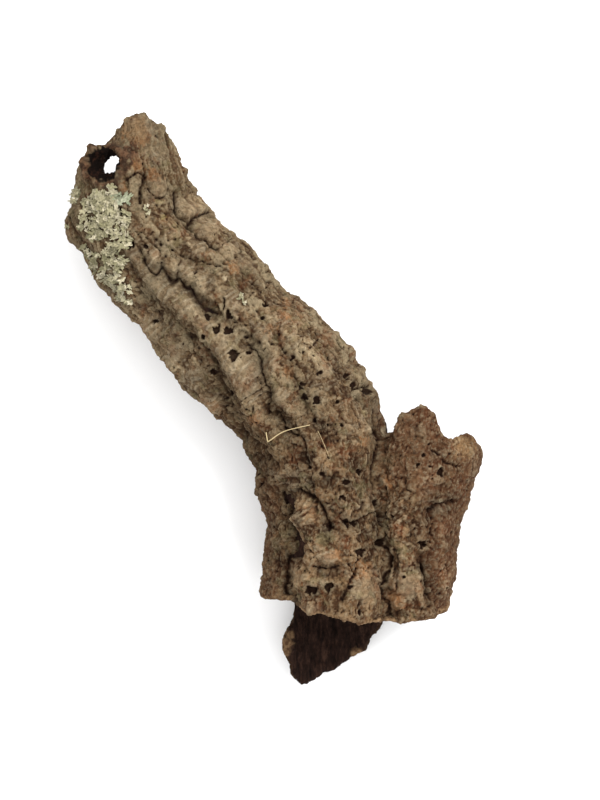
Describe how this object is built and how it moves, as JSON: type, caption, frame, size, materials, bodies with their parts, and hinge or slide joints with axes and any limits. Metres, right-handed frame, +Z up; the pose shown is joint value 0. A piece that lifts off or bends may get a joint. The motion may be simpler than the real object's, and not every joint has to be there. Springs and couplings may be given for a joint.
{
  "type": "piece of bark",
  "caption": "Hollow virgin cork bark of a bent branch, with the broken bark of a limb beside its flared sawn end, a knothole near its tip and pale lichen; lies on a surface as decoration.",
  "frame": {"origin": "on the surface it lies on, under the centre of its bounding box", "axes": "+Y along its longest side, from the sawn end towards the broken tip; +Z up, away from the surface it lies on; +X towards the limb's bark"},
  "size_m": [0.2528, 0.3478, 0.0886],
  "materials": {
    "cork": "rough, deeply cracked cork bark, warm grey-brown outside, dark brown and fibrous inside",
    "lichen": "matt, leafy, pale grey-green",
    "straw": "dry straw, slightly satin"
  },
  "bodies": {
    "root": {"cork_bark": "cork", "lichen_upper": "lichen", "lichen_middle": "lichen", "lichen_lower": "lichen", "lichen_fleck_high": "lichen", "lichen_fleck_low": "lichen", "grass_straw": "straw", "grass_fibre": "straw"}
  },
  "joints": []
}
